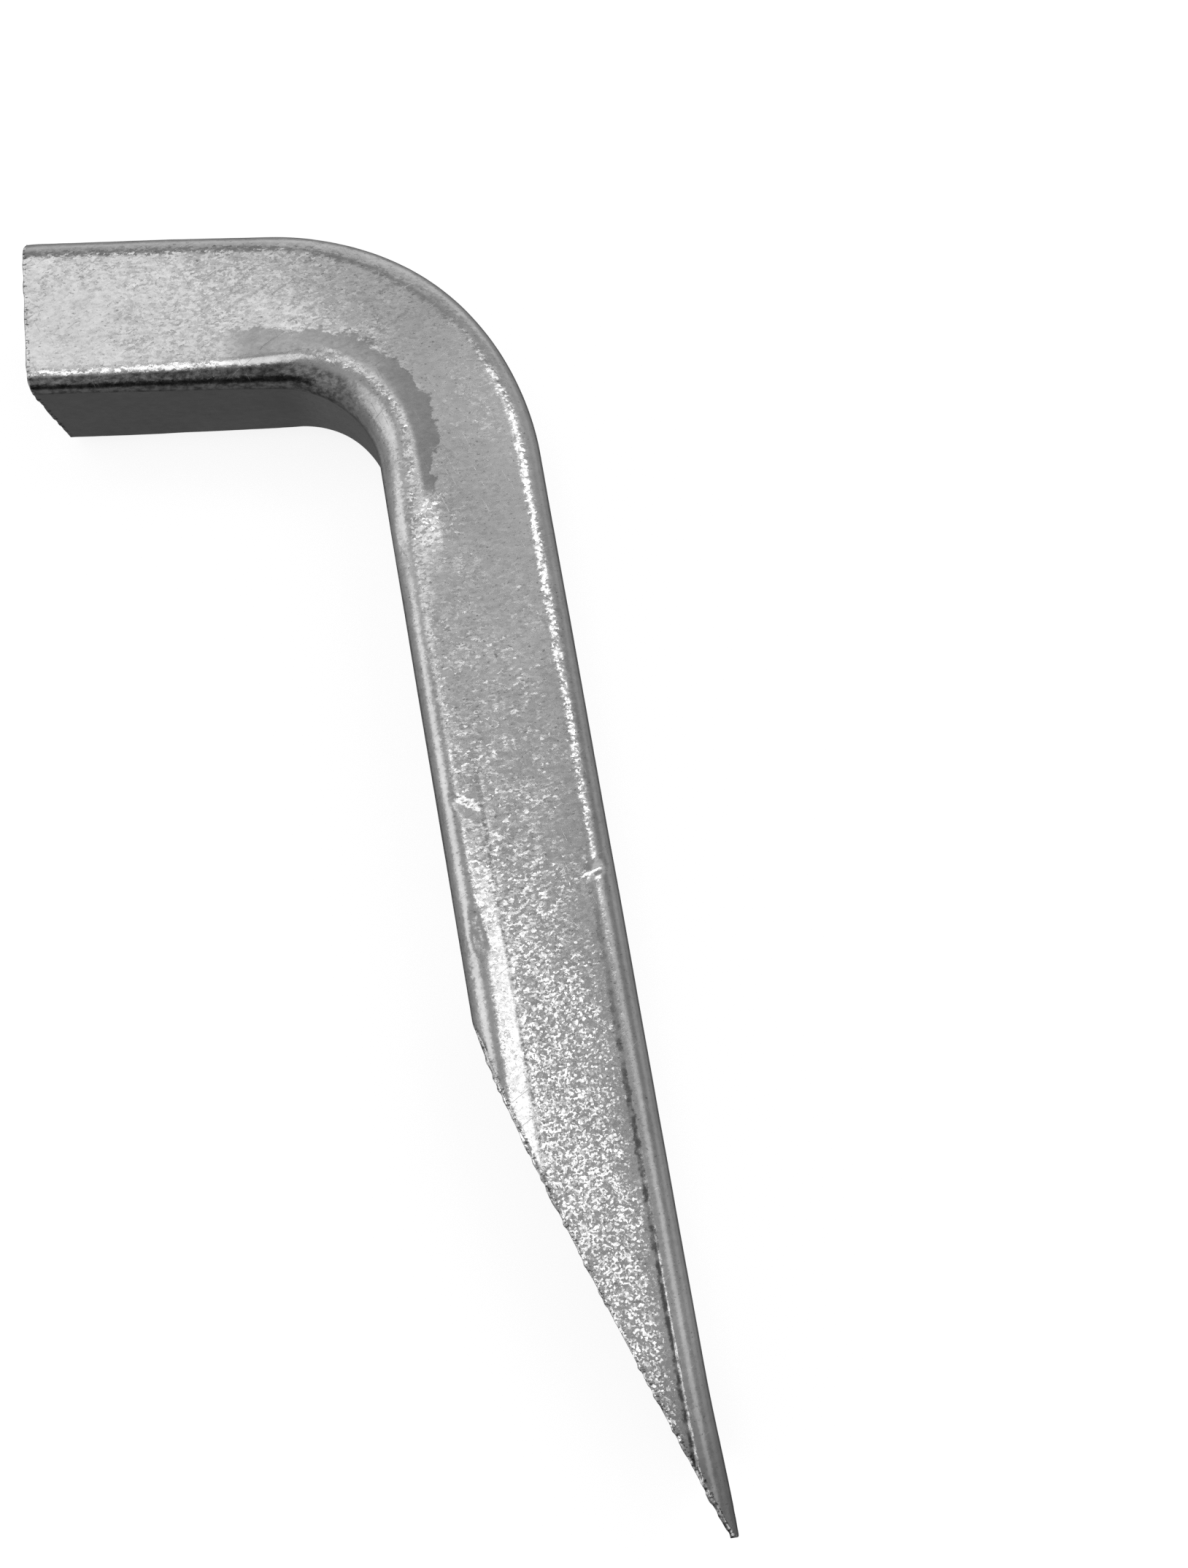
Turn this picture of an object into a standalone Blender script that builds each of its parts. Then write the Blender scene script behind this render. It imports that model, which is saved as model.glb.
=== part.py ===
"""Tyre lever: one piece of square steel bar, cold bent to an L, with a single ground bevel on the long leg.

The lever lies flat on one side face. +Z is up through the bar's thickness, the long leg runs along -Y, and the
short leg points towards -X. The inner side of the long leg, which carries the bevel, faces -X. The origin is on
the face the lever rests on, on the long leg's centreline, where the outside of the bend ends and the straight
leg begins.

All lengths are in metres. The bar is laid out from the crossing, the point where the two legs' centrelines meet,
and the finished body is then slid along Y to its origin.
"""

import math

import bmesh
import bpy
from mathutils import Vector

# ---- bar ----
BAR = 0.016                           # width across flats of the square bar, also its thickness
HALF_BAR = BAR / 2
EDGE_RADIUS = 0.0022                  # rolled corner of the bar

# ---- legs and bend ----
SHORT_LEG = 0.0407                    # crossing to the sawn end, on the centreline
LONG_LEG = 0.1214                     # crossing to the tip, at mid thickness
INCLUDED_ANGLE = math.radians(98.0)   # between the two legs
BEND_TURN = math.pi - INCLUDED_ANGLE  # how far the bar turns round the bend
INNER_BEND_RADIUS = 0.0100
OUTER_BEND_RADIUS = 0.0276            # more than inner radius plus bar: the bar thins as it bends

# ---- cuts ----
BEVEL_START = 0.0724                  # crossing to where the bevel leaves the inner face, at mid thickness
BEVEL_ANGLE = math.radians(17.5)      # bevel plane to the long leg
BEVEL_SKEW = math.radians(10.2)       # the bevel's heel line out of square: its top is nearer the tip
TIP_SLANT = math.radians(8.0)         # the blunt tip out of square, the same way: longer at the top
END_SKEW = math.radians(2.5)          # the saw cut out of square in the plane of the L: longer on the outer side
CUT_ALLOWANCE = 0.003                 # extra length that the end cuts remove
CUT_LIMIT = BAR * 0.9                 # cuts touch only faces farther than this from the crossing, along the leg

# ---- mesh ----
CORNER_STEPS = 10                     # segments in each rolled corner
BEND_STEPS = 30                       # segments round the bend
MERGE_DISTANCE = 1e-6
SLICE_TOLERANCE = 1e-7
SHARP_ANGLE = math.radians(25)        # edges steeper than this are shaded sharp

# ---- directions: each leg's run away from the crossing, and its outward side in the plane of the L ----
UP = Vector((0, 0, 1))
LONG_DIR = Vector((0, -1, 0))
LONG_OUT = Vector((1, 0, 0))
SHORT_DIR = Vector((-math.sin(INCLUDED_ANGLE), -math.cos(INCLUDED_ANGLE), 0))
SHORT_OUT = Vector((SHORT_DIR.y, -SHORT_DIR.x, 0))
# Lines offset outward by d from both centrelines meet at MITRE * d from the crossing.
MITRE = (SHORT_OUT + LONG_OUT) / (1 + SHORT_OUT.dot(LONG_OUT))


# ---- sweep along the bar ----
def tangent_length(radius):
    """Distance from a sharp corner to where an arc of this radius, rounding it, meets either leg."""
    return radius * math.tan(BEND_TURN / 2)


def section_points():
    """Rounded square as (across, height): across runs 0 on the inner side to 1 on the outer, height in metres."""
    near, far = EDGE_RADIUS, BAR - EDGE_RADIUS
    corner_centres = ((far, far), (near, far), (near, near), (far, near))
    points = []
    for quarter, (centre_across, centre_height) in enumerate(corner_centres):
        for step in range(CORNER_STEPS + 1):
            angle = (math.pi / 2) * (quarter + step / CORNER_STEPS)
            across = centre_across + EDGE_RADIUS * math.cos(angle)
            height = centre_height + EDGE_RADIUS * math.sin(angle)
            points.append((across / BAR, height))
    return points


def bend_arc(offset, radius):
    """Points from short leg to long leg, rounding the corner of the lines `offset` outside the centrelines."""
    start = MITRE * offset + SHORT_DIR * tangent_length(radius)
    centre = start - SHORT_OUT * radius
    points = []
    for step in range(BEND_STEPS + 1):
        angle = BEND_TURN * step / BEND_STEPS
        spoke = SHORT_OUT * math.cos(angle) - SHORT_DIR * math.sin(angle)
        points.append(centre + spoke * radius)
    return points


def stations():
    """(inner point, outer point) pairs along the bar, from beyond the sawn end to beyond the tip."""
    short_end = SHORT_DIR * (SHORT_LEG + CUT_ALLOWANCE)
    long_end = LONG_DIR * (LONG_LEG + CUT_ALLOWANCE)
    inner_arc = bend_arc(-HALF_BAR, INNER_BEND_RADIUS)
    outer_arc = bend_arc(HALF_BAR, OUTER_BEND_RADIUS)
    return [
        (short_end - SHORT_OUT * HALF_BAR, short_end + SHORT_OUT * HALF_BAR),
        *zip(inner_arc, outer_arc),
        (long_end - LONG_OUT * HALF_BAR, long_end + LONG_OUT * HALF_BAR),
    ]


def sweep_bar(bm):
    """Adds the bent bar, over length and square ended."""
    section = section_points()
    rings = [
        [bm.verts.new(inner.lerp(outer, across) + UP * height) for across, height in section]
        for inner, outer in stations()
    ]
    count = len(section)
    for ring, next_ring in zip(rings, rings[1:]):
        for i in range(count):
            j = (i + 1) % count
            bm.faces.new((ring[i], ring[j], next_ring[j], next_ring[i]))
    bm.faces.new(rings[0])
    bm.faces.new(rings[-1])
    bmesh.ops.recalc_face_normals(bm, faces=bm.faces[:])


# ---- cuts ----
def cut(bm, point, normal, leg_dir):
    """Slices one leg at a plane, drops what lies on the normal's side, and closes it with one flat face.

    Only faces wholly beyond CUT_LIMIT on that leg are sliced, because the bevel's plane, carried on, would run
    through the other leg.
    """
    faces = [face for face in bm.faces if min(v.co.dot(leg_dir) for v in face.verts) > CUT_LIMIT]
    edges = {edge for face in faces for edge in face.edges}
    verts = {vert for face in faces for vert in face.verts}
    bmesh.ops.bisect_plane(
        bm,
        geom=[*verts, *edges, *faces],
        dist=SLICE_TOLERANCE,
        plane_co=point,
        plane_no=normal,
        clear_outer=True,
    )
    open_edges = [edge for edge in bm.edges if len(edge.link_faces) == 1]
    bmesh.ops.edgeloop_fill(bm, edges=open_edges)


def saw_short_end(bm):
    normal = SHORT_DIR * math.cos(END_SKEW) - SHORT_OUT * math.sin(END_SKEW)
    cut(bm, SHORT_DIR * SHORT_LEG + UP * HALF_BAR, normal, SHORT_DIR)


def cut_tip(bm):
    normal = LONG_DIR * math.cos(TIP_SLANT) - UP * math.sin(TIP_SLANT)
    cut(bm, LONG_DIR * LONG_LEG + UP * HALF_BAR, normal, LONG_DIR)


def grind_bevel(bm):
    """Cuts from a skewed heel line on the inner face, falling towards the outer side at the tip."""
    heel = LONG_DIR * BEVEL_START - LONG_OUT * HALF_BAR + UP * HALF_BAR
    heel_line = UP * math.cos(BEVEL_SKEW) + LONG_DIR * math.sin(BEVEL_SKEW)
    fall = LONG_DIR * math.cos(BEVEL_ANGLE) + LONG_OUT * math.sin(BEVEL_ANGLE)
    # This order of the product points to the inner side, the side that is ground away.
    cut(bm, heel, fall.cross(heel_line).normalized(), LONG_DIR)


# ---- finished lever ----
def move_to_origin(bm):
    """Slides the body along Y so that the straight part of the long leg's outer side starts at y = 0."""
    straight_start = tangent_length(OUTER_BEND_RADIUS) - MITRE.y * HALF_BAR
    bmesh.ops.translate(bm, verts=bm.verts[:], vec=-LONG_DIR * straight_start)


def lever_mesh():
    bm = bmesh.new()
    sweep_bar(bm)
    saw_short_end(bm)
    cut_tip(bm)
    grind_bevel(bm)
    bmesh.ops.remove_doubles(bm, verts=bm.verts[:], dist=MERGE_DISTANCE)
    bmesh.ops.dissolve_degenerate(bm, dist=MERGE_DISTANCE, edges=bm.edges[:])
    bmesh.ops.recalc_face_normals(bm, faces=bm.faces[:])
    move_to_origin(bm)

    mesh = bpy.data.meshes.new("lever_bar")
    bm.to_mesh(mesh)
    bm.free()
    mesh.shade_smooth()
    mesh.set_sharp_from_angle(angle=SHARP_ANGLE)
    return mesh


def zinc_steel():
    colour = (0.60, 0.60, 0.61, 1.0)
    material = bpy.data.materials.new("zinc_plated_steel")
    material.use_nodes = True
    material.diffuse_color = colour
    inputs = material.node_tree.nodes["Principled BSDF"].inputs
    inputs["Base Color"].default_value = colour
    inputs["Metallic"].default_value = 1.0
    inputs["Roughness"].default_value = 0.36
    return material


def main():
    for obj in list(bpy.data.objects):
        bpy.data.objects.remove(obj, do_unlink=True)

    mesh = lever_mesh()
    mesh.materials.append(zinc_steel())
    lever = bpy.data.objects.new("lever_bar", mesh)
    bpy.context.scene.collection.objects.link(lever)


main()
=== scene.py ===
"""Looks of the tyre lever: a cold-bent, zinc-plated square bar with a ground wedge tip.

The lever lies on its side on Z = 0. The long leg runs towards -Y and ends in the tip; the short leg
runs towards -X and a little +Y and ends in a sawn face. The inner side of the bend faces -X and -Y.
Shapes are worked out in millimetres from the crossing of the two legs' centrelines; to_frame() moves
them to the frame, whose origin is level with the start of the long leg's straight outer side.
"""

import itertools
import math
from typing import NamedTuple

import bpy
import numpy as np
from mathutils import Matrix, Vector


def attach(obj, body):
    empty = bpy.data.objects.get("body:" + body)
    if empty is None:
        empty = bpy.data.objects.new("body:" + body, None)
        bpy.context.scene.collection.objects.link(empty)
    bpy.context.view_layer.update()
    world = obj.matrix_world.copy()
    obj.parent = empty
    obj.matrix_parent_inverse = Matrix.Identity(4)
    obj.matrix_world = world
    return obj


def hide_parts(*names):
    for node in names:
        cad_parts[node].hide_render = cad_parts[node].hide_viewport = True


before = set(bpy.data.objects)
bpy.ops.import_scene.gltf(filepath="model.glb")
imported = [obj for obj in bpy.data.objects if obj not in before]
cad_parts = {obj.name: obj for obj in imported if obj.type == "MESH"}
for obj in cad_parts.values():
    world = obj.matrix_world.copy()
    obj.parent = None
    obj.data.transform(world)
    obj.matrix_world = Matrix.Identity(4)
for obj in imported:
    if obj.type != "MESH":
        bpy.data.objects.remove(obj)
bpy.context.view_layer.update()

NODE = "lever_bar"
MM = 0.001                              # metres in a millimetre

# ---------------------------------------------------------------------------------------------
# Dimensions, in millimetres
# ---------------------------------------------------------------------------------------------
BAR = 16.0                              # side of the square section
EDGE_R = 2.2                            # how far a rolled corner reaches into each flat
KINK = math.radians(6.5)                # angle at which a rolled corner meets a flat
SHORT_LEG = 40.7                        # crossing to the sawn end
LONG_LEG = 121.6                        # crossing to the nominal tip
BEVEL_ROWS_FROM = 66.5                  # where the closely spaced stations of the tip begin
TIP_LEFT = 0.45                         # least thickness the bevel leaves
ANGLE = math.radians(98.0)              # between the legs
TURN = math.pi - ANGLE                  # how far the bar turns in the bend
R_IN = 10.0
R_OUT = 27.6
END_SKEW = math.tan(math.radians(2.5))  # the sawn end is slightly off square

# distance from the crossing, along either leg, at which each side of the bar turns straight
IN_START = (R_IN + BAR / 2) * math.tan(TURN / 2)
OUT_START = (R_OUT - BAR / 2) * math.tan(TURN / 2)
ARC_IN = R_IN * TURN

S_DIR = np.array([-math.sin(ANGLE), -math.cos(ANGLE)])   # along the short leg, towards its end
S_OUT = np.array([-math.cos(ANGLE), math.sin(ANGLE)])    # towards the short leg's outer side

# marks that show both in the mesh and in the material
LINE_IN = 4.45                          # inner rolling line on the side faces, from the inner face
LINE_OUT = 13.45                        # outer rolling line on the side faces
LINE_FACE_Z = 11.9                      # rolling line on the inner face
GRIND_SLOPE, GRIND_CURVE = 0.16, 0.0018  # how the grinding marks lean along the bevel
SAW_TILT = math.radians(15)

# Each ring of vertices starts at the middle of the outer side, goes over the top to the inner side
# and returns underneath. These are the segments of its upper half.
N_OUTER, N_OUTER_ROUND, N_SIDE, N_FACE = 13, 8, 36, 32
CREASE = N_OUTER + N_OUTER_ROUND + N_SIDE      # ring index where the inner face or bevel begins
N_HALF = CREASE + N_FACE
RING = 2 * N_HALF

ST_SHORT, ST_BEND, ST_LONG, ST_BEVEL = 58, 64, 122, 226
END_RINGS = 32
CLOSE_RING = 0.09                       # gap beside the sawn edge that keeps it sharp
SHORT_SPAN = 24.0                       # length the short leg's progress stands for

SHORT, BEND, LONG = range(3)

# Tip edge from the underside to the top: height / BAR, reach along the long leg / BAR
TIP_OUTLINE = np.array([
    (-0.20, 7.12), (0.0, 7.28), (0.03, 7.36), (0.068, 7.40), (0.13, 7.45), (0.19, 7.475),
    (0.25, 7.49), (0.33, 7.487), (0.41, 7.482), (0.50, 7.505), (0.617, 7.548), (0.70, 7.572),
    (0.765, 7.588), (0.85, 7.598), (0.90, 7.600), (0.922, 7.592), (0.9625, 7.560), (1.0, 7.47),
    (1.2, 7.30)])

# Swelling of the upper side face at the bend: run along the inner face, height
CREST = np.array([
    (-5.0, 0.0), (0.0, 0.05), (1.4, 0.14), (3.1, 0.23), (5.0, 0.32), (6.4, 0.41), (8.0, 0.54),
    (9.4, 0.62), (10.7, 0.65), (12.0, 0.63), (13.4, 0.56), (14.3, 0.52), (16.0, 0.43),
    (17.5, 0.34), (19.3, 0.25), (21.0, 0.16), (22.7, 0.08), (27.0, 0.0)])

# Second ground facet on the lower edge: distance along the long leg, size of the cut
FACET = np.array([
    (68.6, 1.10), (70.6, 2.05), (73.0, 2.10), (76.0, 1.75), (79.0, 1.05), (82.5, -0.3)])

# Gashes and scratches: start xy, end xy, width, depth, side (1 on top, -1 underneath)
STROKES = (
    ((-6.3, -50.25), (-4.0, -52.0), 0.34, 0.24, 1),
    ((5.7, -59.4), (7.0, -58.9), 0.46, 0.34, 1),
    ((6.2, -59.9), (6.7, -59.8), 0.20, 0.08, 1),
    ((2.3, -49.0), (2.9, -49.9), 0.16, 0.06, 1),
    ((-2.0, -15.3), (3.6, -12.0), 0.14, 0.025, 1),
    ((-0.5, -17.6), (2.2, -16.4), 0.12, 0.02, 1),
    ((-0.9, -99.4), (0.2, -100.6), 0.30, 0.10, 1),
    ((2.2, -88.3), (2.9, -89.6), 0.30, 0.10, 1),
    ((-5.9, -64.6), (-6.3, -62.9), 0.55, 0.22, 1),
    ((-6.4, -62.4), (-6.1, -61.2), 0.45, 0.14, 1),
    ((4.0, -30.0), (5.2, -44.0), 0.14, 0.03, -1),
    ((-3.0, -62.0), (1.0, -60.4), 0.16, 0.05, -1),
    ((-26.0, 3.0), (-23.6, 4.6), 0.20, 0.05, -1),
)

# Dents: centre, radius, depth
DENTS = (
    ((-0.4, -27.2, 16.0), 0.55, 0.10), ((6.9, -34.0, 15.4), 0.5, 0.08),
    ((7.6, -47.3, 14.6), 0.45, 0.08), ((-8.0, -58.0, 4.5), 0.6, 0.09),
    ((-8.0, -33.5, 6.0), 0.5, 0.07), ((-8.0, -46.0, 9.4), 0.5, 0.08),
    ((8.0, -71.0, 5.2), 0.7, 0.09), ((8.0, -31.0, 11.0), 0.6, 0.08),
    ((1.5, -81.0, 0.0), 0.7, 0.10), ((-2.0, -37.0, 0.0), 0.5, 0.08),
    ((-30.0, -2.6, 9.0), 0.5, 0.06), ((-22.0, 10.6, 7.0), 0.6, 0.08),
)

# Nicks at the sawn end: offset outward from the centreline, height, radius, depth
END_NICKS = (
    (-6.9, 1.2, 0.9, 0.20), (-7.1, 14.6, 1.0, 0.24), (7.3, 14.9, 0.8, 0.16),
    (7.6, 6.0, 0.6, 0.14), (-7.7, 11.0, 0.7, 0.12),
)


# ---------------------------------------------------------------------------------------------
# Noise and profiles
# ---------------------------------------------------------------------------------------------
def hash_cells(ix, iy, iz, seed):
    """A random number in 0..1 for each whole-numbered cell."""
    h = (ix * 73856093) ^ (iy * 19349663) ^ (iz * 83492791) ^ (seed * 2654435761)
    h = h & 0xFFFFFFFF
    h = ((h ^ (h >> 15)) * 2246822519) & 0xFFFFFFFF
    h = ((h ^ (h >> 13)) * 3266489917) & 0xFFFFFFFF
    h = h ^ (h >> 16)
    return h.astype(np.float64) / 4294967295.0


def noise(points, seed):
    """Smooth value noise in -1..1 at points (N, 3); one cell is one unit."""
    cell = np.floor(points).astype(np.int64)
    part = points - cell
    part = part * part * part * (part * (part * 6 - 15) + 10)
    total = 0.0
    for corner in itertools.product((0, 1), repeat=3):
        weight = np.where(corner, part, 1 - part).prod(axis=1)
        total = total + weight * hash_cells(*(cell + np.array(corner)).T, seed)
    return total * 2 - 1


def noise1(values, seed):
    """Noise along one coordinate."""
    values = np.asarray(values, float)
    points = np.zeros((values.size, 3))
    points[:, 0] = values.ravel()
    points[:, 1] = 0.37 + seed * 3.1
    return noise(points, seed).reshape(values.shape)


def ripple(points, cell, height, seed):
    """Noise over points, with the given cell size and height."""
    return height * noise(points / np.asarray(cell, float), seed)


def wobble(values, length, height, seed):
    """Noise along one coordinate, with the given cell length and height."""
    return height * noise1(values / length, seed)


def flat_points(u, v):
    return np.stack([u, v, np.zeros_like(u)], 1)


def smooth(start, end, x):
    """0 at start, 1 at end, smooth between; start may be the larger."""
    t = np.clip((x - start) / (end - start), 0, 1)
    return t * t * (3 - 2 * t)


def bell(x, at, width, power=2):
    """1 where x is `at`, falling off to both sides."""
    return np.exp(-((x - at) / width) ** power)


def groove(coordinate, pitch, seed):
    """Irregular parallel grooves: sharp-bottomed, uneven in depth and spacing."""
    value = (wobble(coordinate, length=pitch, height=0.55, seed=seed)
             + wobble(coordinate, length=pitch * 2.3, height=0.35, seed=seed + 1)
             + wobble(coordinate, length=pitch * 0.5, height=0.2, seed=seed + 2))
    return np.sign(value) * np.abs(value) ** 0.8


def grind_line(z, past):
    """Coordinate across the bevel's curved grinding marks; takes arrays and shader values."""
    return z + past * GRIND_SLOPE + past * past * GRIND_CURVE


def saw_axes(outward, z):
    """Coordinates across and along the saw marks; takes arrays and shader values."""
    sine, cosine = math.sin(SAW_TILT), math.cos(SAW_TILT)
    return outward * sine + z * cosine, z * sine - outward * cosine


# ---------------------------------------------------------------------------------------------
# The ground bevel and the tip
# ---------------------------------------------------------------------------------------------
def tip_reach(z):
    """How far the tip edge reaches along the long leg at height z."""
    reach = np.interp(z / BAR, *TIP_OUTLINE.T) * BAR
    return (reach + wobble(z, length=1 / 0.9, height=0.10, seed=11)
            + wobble(z, length=1 / 2.3, height=0.05, seed=12))


def heel(z, along):
    """Distance from the crossing at which the bevel meets the inner face, at height z."""
    skew = 0.18 - 0.06 * smooth(70.0, 120.0, along)
    return (4.50 - skew * (1.0 - z / BAR)) * BAR


def bevel_depth(along, z):
    """Depth of the bevel below the inner face. Negative before the heel."""
    past = (along - heel(z, along)) / BAR
    hollow = 0.096 * (1 - np.exp(-np.maximum(past, 0) / 0.8))
    return np.where(past > 0, 0.346 * past - hollow, 0.226 * past) * BAR


# ---------------------------------------------------------------------------------------------
# Stations: each is a line across the bar, from the inner side to the outer side
# ---------------------------------------------------------------------------------------------
class Station(NamedTuple):
    inner: np.ndarray       # xy on the inner face
    outer: np.ndarray       # xy on the outer face
    part: int               # SHORT, BEND or LONG
    progress: float         # 0..1 along the short leg, the bend or the stations of the tip
    run: float              # along the inner face from the start of the bend, below 0 before it


def short_stations():
    """From the sawn end to the bend, with one close ring at the edge."""
    even = np.linspace(0, 1, ST_SHORT + 1)[1:-1]
    skew = BAR / 2 * END_SKEW
    for q in (0.0, CLOSE_RING / SHORT_SPAN, *even):
        inner = SHORT_LEG - skew + (IN_START - SHORT_LEG + skew) * q
        outer = SHORT_LEG + skew + (OUT_START - SHORT_LEG - skew) * q
        yield Station(S_DIR * inner - S_OUT * BAR / 2, S_DIR * outer + S_OUT * BAR / 2,
                      SHORT, q, IN_START - inner)


def bend_stations():
    centre_in = np.array([-BAR / 2 - R_IN, -IN_START])
    centre_out = np.array([BAR / 2 - R_OUT, -OUT_START])
    for q in np.linspace(0, 1, ST_BEND + 1):
        outward = S_OUT * math.cos(TURN * q) - S_DIR * math.sin(TURN * q)
        yield Station(centre_in + outward * R_IN, centre_out + outward * R_OUT,
                      BEND, q, q * ARC_IN)


def long_station(y_in, y_out, progress):
    return Station(np.array([-BAR / 2, -y_in]), np.array([BAR / 2, -y_out]),
                   LONG, progress, ARC_IN + y_in - IN_START)


def build_stations():
    stations = [*short_stations(), *bend_stations()]
    for q in np.linspace(0, 1, ST_LONG + 1)[1:]:
        y_in = IN_START + (BEVEL_ROWS_FROM - IN_START) * q
        y_out = OUT_START + (BEVEL_ROWS_FROM - OUT_START) * q
        stations.append(long_station(y_in, y_out, 0.0))
    for q in np.linspace(0, 1, ST_BEVEL + 1)[1:]:
        y = BEVEL_ROWS_FROM + (LONG_LEG - BEVEL_ROWS_FROM) * q
        stations.append(long_station(y, y, q))
    return stations


# ---------------------------------------------------------------------------------------------
# The section at a station
# ---------------------------------------------------------------------------------------------
ROUND_SCALE = 1 / (math.cos(KINK) - math.sin(KINK))   # arc radius for a corner of reach 1
ROUND_SWING = math.pi / 2 - 2 * KINK                  # angle the arc covers


def inner_radius(run):
    """Reach of the inner corners: small on the short leg, full in the bend."""
    return EDGE_R - 0.35 * smooth(-6.0, -22.0, run) + 1.15 * bell(run, at=8.0, width=8.5)


def profile_marks(width, inner_r):
    """Arc lengths, from the middle of the outer side, at which the parts of a half section end."""
    outer_end = BAR / 2 - EDGE_R
    outer_round_end = outer_end + EDGE_R * ROUND_SCALE * ROUND_SWING
    side_end = outer_round_end + width - EDGE_R - inner_r
    inner_round_end = side_end + inner_r * ROUND_SCALE * ROUND_SWING
    return outer_end, outer_round_end, side_end, inner_round_end, inner_round_end + BAR / 2 - inner_r


def profile(width, inner_r, arc):
    """(across, height) on the half section at the given arc lengths; height is from mid height.

    The rolled corners meet the flats at a slight edge of KINK instead of running out tangent.
    """
    marks = profile_marks(width, inner_r)
    half = BAR / 2
    radius_out, radius_in = EDGE_R * ROUND_SCALE, inner_r * ROUND_SCALE
    turn_out = KINK + (arc - marks[0]) / radius_out
    turn_in = KINK + (arc - marks[2]) / radius_in
    where = [arc <= mark for mark in marks[:4]]
    across = np.select(where, [
        np.full_like(arc, width),
        width + radius_out * (np.cos(turn_out) - math.cos(KINK)),
        width - EDGE_R - (arc - marks[1]),
        inner_r - radius_in * (np.sin(turn_in) - math.sin(KINK)),
    ], 0.0)
    height = np.select(where, [
        arc,
        half - EDGE_R + radius_out * (np.sin(turn_out) - math.sin(KINK)),
        np.full_like(arc, half),
        half + radius_in * (np.cos(turn_in) - math.cos(KINK)),
    ], half - inner_r - (arc - marks[3]))
    return across, height


def spaced(length, count, close):
    """count + 1 values from 0 to length: evenly spaced, but for one extra value close to 0."""
    even = np.linspace(0, 1, count) * length
    return np.insert(even, 1, min(close, 0.3 * even[1]))


def crease_arc(width, inner_r, depth_at):
    """Arc length at which the bevel, or else the plain inner face, begins."""
    *_, inner_round_end, total = profile_marks(width, inner_r)
    if depth_at is None:
        return inner_round_end
    arc = np.linspace(0, 1, 500) * total
    across, height = profile(width, inner_r, arc)
    kept = across - depth_at(across, height)
    if (kept >= 0).all():
        return inner_round_end
    cut = max(int(np.argmax(kept < 0)), 1)
    share = kept[cut - 1] / (kept[cut - 1] - kept[cut])
    return min(arc[cut - 1] + (arc[cut] - arc[cut - 1]) * share, inner_round_end)


def half_section(width, inner_r, depth_at=None):
    """Half a ring as (across, height) at N_HALF + 1 places; depth_at gives the bevel's depth."""
    outer_end, round_end, *_ = profile_marks(width, inner_r)
    crease = crease_arc(width, inner_r, depth_at)
    round_end = min(round_end, outer_end + (crease - outer_end) * 0.55)
    arc = np.concatenate((
        np.linspace(0, outer_end, N_OUTER + 1)[:-1],
        np.linspace(outer_end, round_end, N_OUTER_ROUND + 1)[:-1],
        crease - spaced(crease - round_end, N_SIDE, close=0.08)[::-1],
    ))
    across, height = profile(width, inner_r, arc)
    face_height = height[-1] * (1 - spaced(1.0, N_FACE, close=0.012)[1:])
    face_across = np.zeros_like(face_height)
    if depth_at is not None:
        for _ in range(3):          # the depth depends on where across the bar it is taken
            face_across = np.maximum(0.0, depth_at(face_across, face_height))
    return np.concatenate((across, face_across)), np.concatenate((height, face_height))


def half_ring(station, side):
    """Points of the upper (side 1) or lower (side -1) half ring, and their distance along."""
    inner, outer, part, progress, run = station
    inner_r = inner_radius(run)
    if part != LONG:
        width = np.linalg.norm(outer - inner)
        across, height = half_section(width, inner_r)
        xy = inner + np.outer(across, (outer - inner) / width)
        return np.column_stack((xy, BAR / 2 + side * height)), np.zeros(len(across))

    tip_share = smooth(0.80, 1.0, progress)     # stations near the tip follow its outline

    def along_at(across, height):
        straight = -inner[1] + (inner[1] - outer[1]) * across / BAR
        return straight + tip_share * (tip_reach(BAR / 2 + side * height) - LONG_LEG)

    def depth_at(across, height):
        depth = bevel_depth(along_at(across, height), BAR / 2 + side * height)
        return np.minimum(depth, BAR - TIP_LEFT)

    across, height = half_section(BAR, inner_r, depth_at)
    along = along_at(across, height)
    return np.column_stack((across - BAR / 2, -along, BAR / 2 + side * height)), along


# ---------------------------------------------------------------------------------------------
# The plain mesh
# ---------------------------------------------------------------------------------------------
def join_halves(upper, lower):
    """A whole ring; the two halves share their first and last places."""
    return np.concatenate((upper, lower[N_HALF - 1:0:-1]))


def build_rings(stations):
    rings, along = [], []
    for station in stations:
        upper, upper_along = half_ring(station, 1)
        lower, lower_along = half_ring(station, -1)
        rings.append(join_halves(upper, lower))
        along.append(join_halves(upper_along, lower_along))
    return np.array(rings), np.array(along)


def loop_quads(loops):
    """Quads between consecutive closed loops of vertex numbers."""
    near, far = loops[:-1], loops[1:]
    quads = np.stack([near, np.roll(near, -1, 1), np.roll(far, -1, 1), far], 2)
    return quads.reshape(-1, 4)


def zip_tip(vertices, ring):
    """Triangles that close the sliver at the tip, between the bevel and the rest of the ring."""
    bevel = ring[CREASE:RING - CREASE + 1]                                  # top to bottom
    rest = np.concatenate((ring[CREASE::-1], ring[:RING - CREASE - 1:-1]))  # top to bottom
    triangles = []
    i = j = 0
    while i < len(bevel) - 1 or j < len(rest) - 1:
        next_bevel = vertices[bevel[i + 1], 2] if i < len(bevel) - 1 else -1e9
        next_rest = vertices[rest[j + 1], 2] if j < len(rest) - 1 else -1e9
        if next_bevel >= next_rest:
            triangle = (bevel[i], bevel[i + 1], rest[j])
            i += 1
        else:
            triangle = (bevel[i], rest[j + 1], rest[j])
            j += 1
        if len(set(triangle)) == 3:
            triangles.append(triangle)
    return np.array(triangles)


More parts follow.
